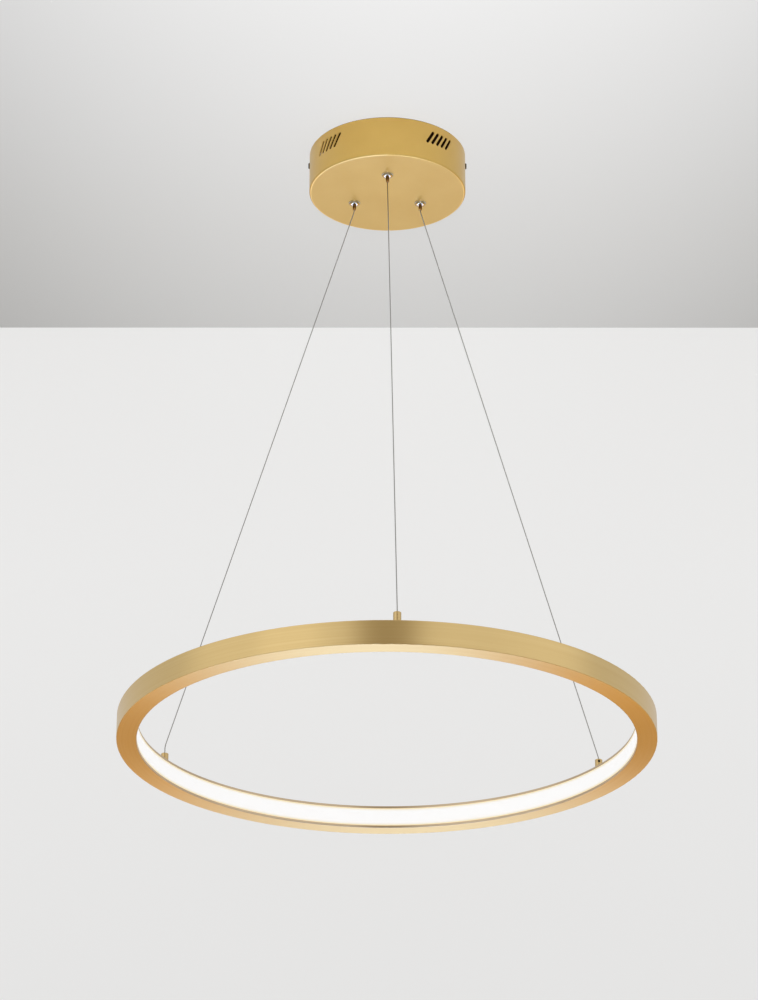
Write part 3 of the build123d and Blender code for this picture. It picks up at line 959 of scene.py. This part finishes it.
@dataclass(frozen=True)
class RoomSurface:
    """Matt paint on a ceiling or wall, seen at its own brightness and see-through from its back.

    Its glow holds a painted pool of light: the tone goes from near to far along one axis, and gets darker
    towards both sides. Under the canopy a painted shade makes the paint dark to the camera, but it lights the
    canopy's inside, as an open top would, so that it shows from above.
    """

    name: str
    near: str
    far: str
    along: Along
    near_at: float
    far_at: float
    # Painted shade: how much darker the glow gets towards both sides
    painted_side_shade: float = 0.0
    side_middle: float = 0.05
    side_reach: float = 0.45
    side_most: float = 1.6
    side_blend: float = 0.6
    glow_share: float = 0.85
    covered_radius: float = 0.0
    # Painted shade: the dark colour that the camera sees under the canopy, through the vents
    painted_canopy_shade: str = "#2E1E10"
    covered_light: float = 0.5

    def glow(self, tree: Tree, point: Socket) -> Socket:
        """Adds the brightness at which the paint is seen, with its painted pool of light.

        Args:
            tree: The material's node tree.
            point: The surface's point.

        Returns:
            The glowing shader.
        """
        place = add_node(tree, "ShaderNodeSeparateXYZ", {"Vector": point}).outputs
        away = add_node(
            tree,
            "ShaderNodeMapRange",
            {"Value": place[self.along.value], "From Min": self.near_at, "From Max": self.far_at},
        ).outputs["Result"]
        tone = add_node(
            tree,
            "ShaderNodeMix",
            {"Factor_Float": away, "A_Color": linear(self.near), "B_Color": linear(self.far)},
            data_type="RGBA",
        ).outputs[2]
        side = add_node(
            tree,
            "ShaderNodeMapRange",
            {
                "Value": place["X"],
                "From Min": self.side_middle,
                "From Max": self.side_middle + self.side_reach,
            },
            clamp=False,
        ).outputs["Result"]
        fall = add_node(
            tree, "ShaderNodeMath", {"Value": side, "Value_001": side}, operation="MULTIPLY"
        ).outputs["Value"]
        capped = add_node(
            tree,
            "ShaderNodeMath",
            {"Value": fall, "Value_001": self.side_most, "Value_002": self.side_blend},
            operation="SMOOTH_MIN",
        ).outputs["Value"]
        level = add_node(
            tree,
            "ShaderNodeMath",
            {"Value": capped, "Value_001": -self.painted_side_shade, "Value_002": 1.0},
            operation="MULTIPLY_ADD",
            use_clamp=True,
        ).outputs["Value"]
        return add_node(tree, "ShaderNodeEmission", {"Color": tone, "Strength": level}).outputs["Emission"]

    def seen_share(self, tree: Tree, path: bpy.types.Node, bare: Socket) -> Socket:
        """Adds the share of the glow, for rays that see the bare paint straight or in a mirror.

        Args:
            tree: The material's node tree.
            path: The node that tells the kinds of rays apart.
            bare: 1 on bare paint, and 0 under the canopy.

        Returns:
            The share.
        """
        share = path.outputs["Is Camera Ray"]
        for operation, value in (
            ("MAXIMUM", path.outputs["Is Glossy Ray"]),
            ("MAXIMUM", path.outputs["Is Transmission Ray"]),
            ("MULTIPLY", bare),
            ("MULTIPLY", self.glow_share),
        ):
            share = add_node(
                tree, "ShaderNodeMath", {"Value": share, "Value_001": value}, operation=operation
            ).outputs["Value"]
        return share

    def face(self, tree: Tree) -> Socket:
        """Adds the painted face: matt, glowing where it is seen, with a painted shade under the canopy for
        the camera and a light there for other rays.

        Args:
            tree: The material's node tree.

        Returns:
            The face's shader.
        """
        point = add_node(tree, "ShaderNodeTexCoord").outputs["Object"]
        path = add_node(tree, "ShaderNodeLightPath")
        radius = add_node(tree, "ShaderNodeVectorMath", {"Vector": point}, operation="LENGTH")
        bare = add_node(
            tree,
            "ShaderNodeMath",
            {"Value": radius.outputs["Value"], "Value_001": self.covered_radius},
            operation="GREATER_THAN",
        ).outputs["Value"]
        # Painted shade: the matt colour is dark under the canopy
        paint = add_node(
            tree,
            "ShaderNodeMix",
            {"Factor_Float": bare, "A_Color": linear(self.painted_canopy_shade), "B_Color": linear(self.near)},
            data_type="RGBA",
        ).outputs[2]
        matt = add_node(tree, "ShaderNodeBsdfDiffuse", {"Color": paint}).outputs["BSDF"]
        painted = add_node(
            tree,
            "ShaderNodeMixShader",
            {
                "Fac": self.seen_share(tree, path, bare),
                "Shader": matt,
                "Shader_001": self.glow(tree, point),
            },
        ).outputs["Shader"]
        top_light = add_node(
            tree, "ShaderNodeEmission", {"Color": linear(self.near), "Strength": self.covered_light}
        ).outputs["Emission"]
        unlit = add_node(
            tree,
            "ShaderNodeMath",
            {"Value": bare, "Value_001": path.outputs["Is Camera Ray"]},
            operation="MAXIMUM",
        ).outputs["Value"]
        return add_node(
            tree, "ShaderNodeMixShader", {"Fac": unlit, "Shader": top_light, "Shader_001": painted}
        ).outputs["Shader"]

    def material(self) -> bpy.types.Material:
        """Makes the surface's material.

        Returns:
            The material.
        """
        made = bpy.data.materials.new(self.name)
        tree = cleared_tree(made)
        both = add_node(
            tree,
            "ShaderNodeMixShader",
            {
                "Fac": add_node(tree, "ShaderNodeNewGeometry").outputs["Backfacing"],
                "Shader": self.face(tree),
                "Shader_001": add_node(tree, "ShaderNodeBsdfTransparent").outputs["BSDF"],
            },
        )
        add_node(tree, "ShaderNodeOutputMaterial", {"Surface": both.outputs["Shader"]})
        return made


@dataclass(frozen=True)
class SoftLamp:
    """A softbox: a rectangular lamp that points at one spot and isn't seen itself.

    A narrow spread is that of a grid on the softbox, which keeps its light on the canopy and off the ring.
    """

    name: str
    place: Triple
    aim: Triple
    width: float
    height: float
    watts: float
    spread_deg: float = 180.0

    def build(self) -> bpy.types.Object:
        """Makes the lamp.

        Returns:
            The lamp's object.
        """
        data = bpy.data.lights.new(self.name, "AREA")
        data.shape = "RECTANGLE"
        data.size = self.width
        data.size_y = self.height
        data.energy = self.watts
        data.spread = math.radians(self.spread_deg)
        lamp = new_piece(self.name, data)
        lamp.location = self.place
        lamp.rotation_euler = (Vector(self.aim) - Vector(self.place)).to_track_quat("-Z", "Y").to_euler()
        lamp.visible_camera = False
        return lamp


@dataclass(frozen=True)
class Rise:
    """Where a light begins and where it is full, along one part of a direction of length 1."""

    begins: float
    full: float


@dataclass(frozen=True)
class LightPatch:
    """A patch of the light from all round.

    Attributes:
        name: What it stands for, which is also its node's label.
        color: Its colour.
        strength: How bright it is, where 1 is the colour itself.
        middle: Its middle, along X.
        across: Its rise towards that middle, or None where it is as wide as can be.
        along: Its rise along Y, which is positive behind the lamp.
        upward: Its rise along Z.
    """

    name: str
    color: str
    strength: float = 1.0
    middle: float = 0.0
    across: Rise | None = None
    along: Rise | None = None
    upward: Rise | None = None

    def light(self) -> tuple[float, ...]:
        """Gives the patch's linear colour, times its strength."""
        *channels, alpha = linear(self.color)
        return (*(self.strength * channel for channel in channels), alpha)

    def share(self, tree: Tree) -> Socket:
        """Adds the patch's share of the light, by the direction that is looked in.

        Args:
            tree: The world's node tree.

        Returns:
            The share, from 0 outside the patch to 1 in it.
        """
        toward = add_node(tree, "ShaderNodeTexCoord").outputs["Generated"]
        part = add_node(tree, "ShaderNodeSeparateXYZ", {"Vector": toward}).outputs
        shifted = add_node(
            tree, "ShaderNodeMath", {"Value": part["X"], "Value_001": self.middle}, operation="SUBTRACT"
        ).outputs["Value"]
        aside = add_node(tree, "ShaderNodeMath", {"Value": shifted}, operation="ABSOLUTE").outputs["Value"]
        share = 1.0
        for value, rise in ((aside, self.across), (part["Y"], self.along), (part["Z"], self.upward)):
            if rise is None:
                continue
            step = add_node(
                tree,
                "ShaderNodeMapRange",
                {"Value": value, "From Min": rise.begins, "From Max": rise.full},
                interpolation_type="SMOOTHSTEP",
            ).outputs["Result"]
            share = add_node(
                tree, "ShaderNodeMath", {"Value": share, "Value_001": step}, operation="MULTIPLY"
            ).outputs["Value"]
        return share


@dataclass(frozen=True)
class Surround:
    """The light from all round, which lights the lamp and is what its metal mirrors of a studio.

    It is white at the sides, and each patch lies over the ones before it. The camera sees a plain grey.
    """

    seen: str = "#E8E8E8"
    sides: str = "#FFFFFF"
    patches: tuple[LightPatch, ...] = (
        LightPatch("rear", "#DCDCDC", along=Rise(-0.12, 0.12)),
        LightPatch("below", "#96875E", upward=Rise(-0.25, -0.6)),
        # The dim gap round the camera, which makes the dark stretch on the ring's front
        LightPatch("front_gap", "#A59B8A", across=Rise(0.3, 0.09), along=Rise(0.12, -0.12)),
        LightPatch("low_glow", "#BE9036", along=Rise(0.5, 0.72), upward=Rise(-0.05, -0.22)),
        LightPatch("deep_glow", "#FFC648", strength=1.4, along=Rise(0.5, 0.72), upward=Rise(-0.38, -0.54)),
        # The lit floor behind the lamp, which makes the pale stretches on the ring's underside
        LightPatch(
            "bright_floor",
            "#B8D1FF",
            strength=5.3,
            middle=-0.04,
            across=Rise(0.28, 0.08),
            along=Rise(0.2, 0.45),
            upward=Rise(-0.46, -0.6),
        ),
    )

    def build(self) -> bpy.types.World:
        """Makes the world and gives it to the scene.

        Returns:
            The world.
        """
        world = bpy.data.worlds.new("pale_surround")
        tree = cleared_tree(world)
        tint = linear(self.sides)
        for patch in self.patches:
            tint = add_node(
                tree,
                "ShaderNodeMix",
                {"Factor_Float": patch.share(tree), "A_Color": tint, "B_Color": patch.light()},
                data_type="RGBA",
                label=patch.name,
            ).outputs[2]
        light = add_node(tree, "ShaderNodeBackground", {"Color": tint})
        shown = add_node(tree, "ShaderNodeBackground", {"Color": linear(self.seen)})
        mixed = add_node(
            tree,
            "ShaderNodeMixShader",
            {
                "Fac": add_node(tree, "ShaderNodeLightPath").outputs["Is Camera Ray"],
                "Shader": light.outputs["Background"],
                "Shader_001": shown.outputs["Background"],
            },
        )
        add_node(tree, "ShaderNodeOutputWorld", {"Surface": mixed.outputs["Shader"]})
        bpy.context.scene.world = world
        return world


@dataclass(frozen=True)
class Stage:
    """The room round the lamp: a ceiling, a wall that is a little askew, soft lamps and a surround."""

    ceiling_gap: float = 0.0006
    canopy_radius: float = 0.0925
    wall_y: float = 0.4484
    wall_skew: float = 0.0034
    half_width: float = 0.9
    front_y: float = -1.0
    wall_low: float = -0.935
    lamps: tuple[SoftLamp, ...] = (
        SoftLamp(
            "left_softbox", place=(-2.0, -2.4, 0.5), aim=(0.0, 0.0, -0.7), width=1.4, height=1.4, watts=2.0
        ),
        SoftLamp(
            "gridded_softbox",
            place=(0.0, -2.9, -1.4),
            aim=(0.0, 0.0, -0.045),
            width=0.5,
            height=0.5,
            watts=0.25,
            spread_deg=14.0,
        ),
        # From below, so that it shows as the highlight on the canopy's rounded edge
        SoftLamp(
            "low_softbox",
            place=(0.3, 0.1, -1.9),
            aim=(0.0, -0.09, -0.05),
            width=0.1,
            height=0.1,
            watts=0.012,
            spread_deg=12.0,
        ),
    )
    surround: Surround = Surround()

    def panel(self, name: str, corners: list[Triple], paint: RoomSurface, mirrored: bool) -> None:
        """Makes one flat panel of the room.

        Args:
            name: The panel's name.
            corners: Its corners, anticlockwise as seen from the lamp.
            paint: Its paint.
            mirrored: Whether the lamp's metal shows it.
        """
        shape = bmesh.new()
        shape.faces.new([shape.verts.new(corner) for corner in corners])
        mesh = bpy.data.meshes.new(name)
        shape.to_mesh(mesh)
        shape.free()
        mesh.materials.append(paint.material())
        panel = new_piece(name, mesh)
        panel.visible_glossy = mirrored
        LOG.info("panel %s", panel.name)

    def room(self) -> None:
        """Makes the ceiling, which the metal mirrors, and the wall, which it doesn't."""
        x, z = self.half_width, self.ceiling_gap
        left_y, right_y = self.wall_y + self.wall_skew, self.wall_y - self.wall_skew
        self.panel(
            "ceiling",
            [(-x, left_y, z), (x, right_y, z), (x, self.front_y, z), (-x, self.front_y, z)],
            # A painted pool of light: the glow is brightest at the front and in the middle, darker towards
            # the wall and the sides
            RoomSurface(
                "ceiling_paint",
                near="#F5F5F5",
                far="#CFCFCF",
                along=Along.DEPTH,
                near_at=-0.344,
                far_at=self.wall_y,
                painted_side_shade=0.17,
                covered_radius=self.canopy_radius,
            ),
            mirrored=True,
        )
        self.panel(
            "wall",
            [(-x, left_y, self.wall_low), (x, right_y, self.wall_low), (x, right_y, z), (-x, left_y, z)],
            # A painted shade: the glow is a little darker towards the bottom
            RoomSurface(
                "wall_paint",
                near="#F0F0F0",
                far="#E9E9E9",
                along=Along.HEIGHT,
                near_at=-0.35,
                far_at=self.wall_low,
            ),
            mirrored=False,
        )

    def build(self) -> None:
        """Makes the room, its lamps and its surround."""
        self.room()
        for lamp in self.lamps:
            LOG.info("lamp %s", lamp.build().name)
        LOG.info("world %s", self.surround.build().name)


@dataclass(frozen=True)
class PhotoCamera:
    """The photograph's camera, fitted to the edges of the canopy and the ring."""

    place: Triple = (-0.0081, -3.7375, -2.1442)
    pitch_deg: float = 24.376
    yaw_deg: float = 0.0173
    roll_deg: float = 0.12
    focal_px: float = 3583.1
    long_side_px: float = 1000.0
    sensor_mm: float = 36.0

    def build(self) -> bpy.types.Object:
        """Makes the camera and gives it to the scene.

        Returns:
            The camera's object.
        """
        data = bpy.data.cameras.new("photo_camera")
        data.sensor_width = self.sensor_mm
        data.lens = self.focal_px * self.sensor_mm / self.long_side_px
        camera = new_piece(data.name, data)
        # A camera that isn't turned looks straight down, and a quarter turn about X makes it level.
        turn = Matrix.Rotation(math.radians(self.yaw_deg), 4, "Z")
        turn = turn @ Matrix.Rotation(math.pi / 2 + math.radians(self.pitch_deg), 4, "X")
        turn = turn @ Matrix.Rotation(math.radians(self.roll_deg), 4, "Z")
        camera.matrix_world = Matrix.Translation(self.place) @ turn
        bpy.context.scene.camera = camera
        return camera


@dataclass(frozen=True)
class RingPendant:
    """The whole lamp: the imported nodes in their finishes, and the pieces that stand for some of them."""

    wires: tuple[SuspensionWire, ...] = (
        SuspensionWire(Place.FRONT, entry_run_mm=5.0, length_mm=757.2),
        SuspensionWire(Place.RIGHT, entry_run_mm=1.8, length_mm=757.0),
        SuspensionWire(Place.LEFT, entry_run_mm=9.0, length_mm=757.5),
    )
    springs: tuple[GripperSpring, ...] = tuple(GripperSpring(place) for place in Place)

    def dress(self, frame: dict[str, Any]) -> None:
        """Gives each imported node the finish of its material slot.

        Args:
            frame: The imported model, as it was loaded.
        """
        for subpart in frame["record"]["subparts"]:
            node = frame["nodes"][subpart["node"]]
            finish = FINISHES[Slot(subpart["material_slot"])]
            for slot in node.material_slots:
                slot.material = finish.material()
            LOG.info("node %s in %s", subpart["node"], finish.name)

    def build(self, frame: dict[str, Any]) -> None:
        """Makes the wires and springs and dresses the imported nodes.

        Args:
            frame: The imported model, as it was loaded.
        """
        for piece in (*self.wires, *self.springs):
            LOG.info("piece %s", piece.build().name)
        self.dress(frame)


def main() -> None:
    """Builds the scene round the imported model, piece by piece."""
    logging.basicConfig(level=logging.INFO, format="%(name)s: %(message)s")
    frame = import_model()
    bpy.context.scene.view_settings.view_transform = "Standard"
    LOG.info("camera %s", PhotoCamera().build().name)
    RingPendant().build(frame)
    Stage().build()


if __name__ == "__main__":
    main()
